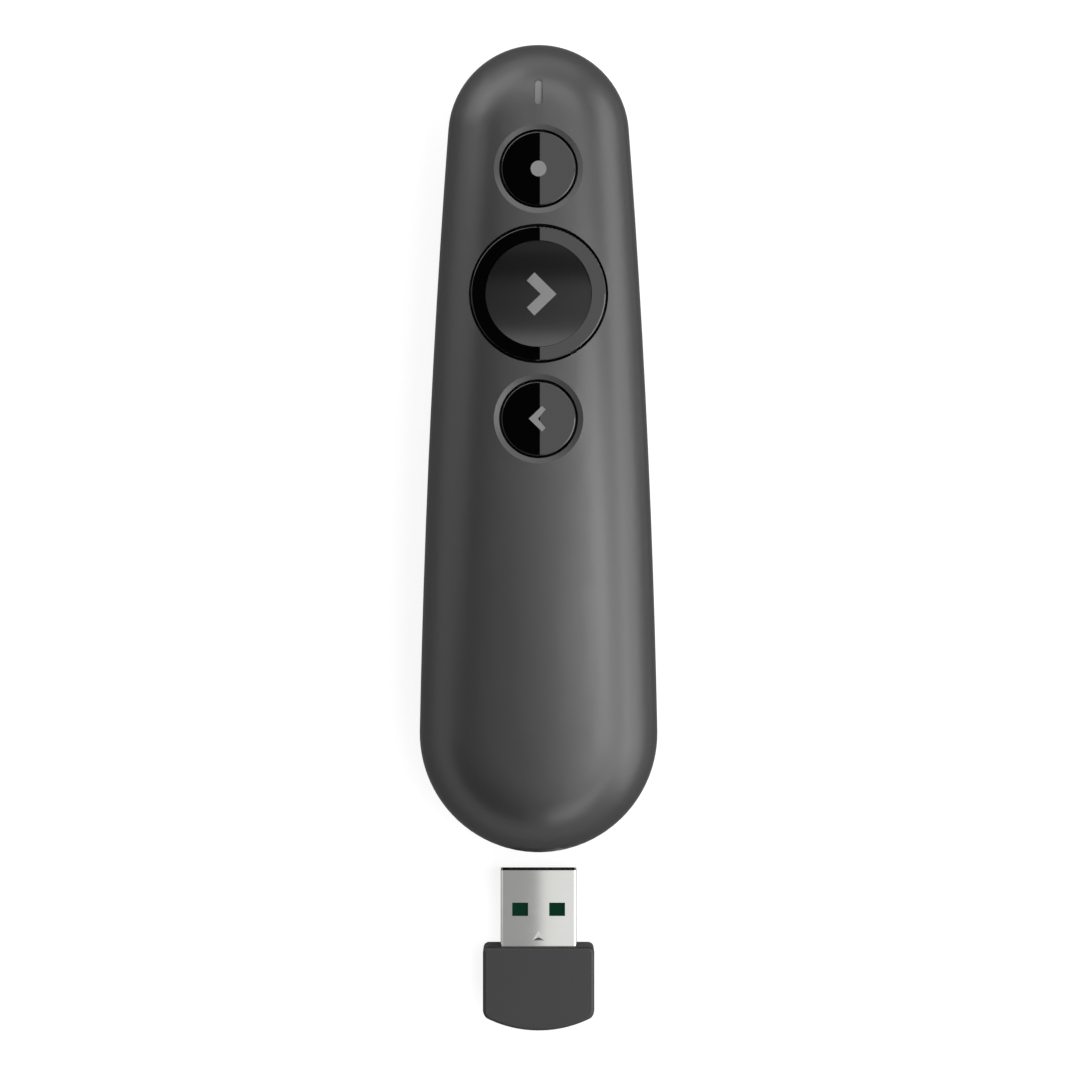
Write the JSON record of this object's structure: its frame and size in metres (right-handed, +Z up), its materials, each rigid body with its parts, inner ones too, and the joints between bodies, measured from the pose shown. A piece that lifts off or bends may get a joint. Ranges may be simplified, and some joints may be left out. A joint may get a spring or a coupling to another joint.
{
  "type": "wireless presentation clicker",
  "caption": "Handheld presentation remote with three press buttons, a nose laser, a hinged battery door and a plug-in receiver that stows in its tail.",
  "frame": {"origin": "on the resting plane, under the axis of the large button", "axes": "+Y to the nose, +Z up through the buttons, X across the plane of symmetry"},
  "size_m": [0.0368, 0.1536, 0.0245],
  "materials": {
    "cover_plastic": "fine matt spark texture, soft touch",
    "dock_plastic": "matt moulding",
    "button_gloss": "polished",
    "pad_satin": "satin dish",
    "light_pipe": "smoked, frosted at the tip",
    "lamp_resin": "clear resin over a lamp",
    "window_plastic": "smoked window",
    "barrel_brass": "turned",
    "aperture_black": "blackened",
    "lens_glass": "clear",
    "diode_metal": "plated can",
    "circuit_board": "green solder mask",
    "switch_black": "moulded",
    "plunger_plastic": "moulded",
    "chip_black": "moulded package",
    "crystal_can": "pressed can",
    "antenna_ceramic": "ceramic chip",
    "cell_sleeve": "plain printed sleeve",
    "spring_steel": "drawn wire",
    "contact_nickel": "nickel plate",
    "screw_steel": "dark zinc",
    "receiver_plastic": "fine matt texture",
    "plug_steel": "nickel-plated sheet",
    "receiver_laminate": "green solder mask",
    "contact_gold": "gold flash"
  },
  "bodies": {
    "handset": {"top_cover": "cover_plastic", "bottom_cover": "cover_plastic", "receiver_dock": "dock_plastic", "led_light_pipe": "light_pipe", "status_led": "lamp_resin", "laser_window": "window_plastic", "laser_barrel": "barrel_brass", "laser_aperture": "aperture_black", "laser_lens": "lens_glass", "laser_diode": "diode_metal", "main_board": "circuit_board", "laser_switch": "switch_black", "next_switch": "switch_black", "back_switch": "switch_black", "radio_chip": "chip_black", "crystal": "crystal_can", "antenna": "antenna_ceramic", "battery_cell": "cell_sleeve", "battery_spring": "spring_steel", "positive_contact": "contact_nickel", "negative_contact": "contact_nickel", "cover_screws": "screw_steel", "board_screws": "screw_steel"},
    "laser_key": {"laser_button": "button_gloss", "laser_plunger": "plunger_plastic"},
    "next_key": {"next_button_ring": "button_gloss", "next_button_pad": "pad_satin", "next_plunger": "plunger_plastic"},
    "back_key": {"back_button": "button_gloss", "back_plunger": "plunger_plastic"},
    "door": {"battery_door": "cover_plastic"},
    "receiver": {"receiver_cap": "receiver_plastic", "usb_shell": "plug_steel", "receiver_board": "receiver_laminate", "receiver_contacts": "contact_gold", "receiver_chip": "chip_black"}
  },
  "joints": [
    {"name": "laser_press", "type": "slide", "parent": "handset", "child": "laser_key", "axis": [0, 0, -1], "range_m": [0, 0.0005], "stiffness_N_per_m": 3000},
    {"name": "next_press", "type": "slide", "parent": "handset", "child": "next_key", "axis": [0, 0, -1], "range_m": [0, 0.0005], "stiffness_N_per_m": 3000},
    {"name": "back_press", "type": "slide", "parent": "handset", "child": "back_key", "axis": [0, 0, -1], "range_m": [0, 0.0005], "stiffness_N_per_m": 3000},
    {"name": "door_hinge", "type": "hinge", "parent": "handset", "child": "door", "pos_m": [0, -0.00685, 0.00095], "axis": [1, 0, 0], "range_deg": [0, 75]},
    {"name": "receiver_slide", "type": "slide", "parent": "handset", "child": "receiver", "axis": [0, 1, 0], "range_m": [0, 0.0291]}
  ]
}
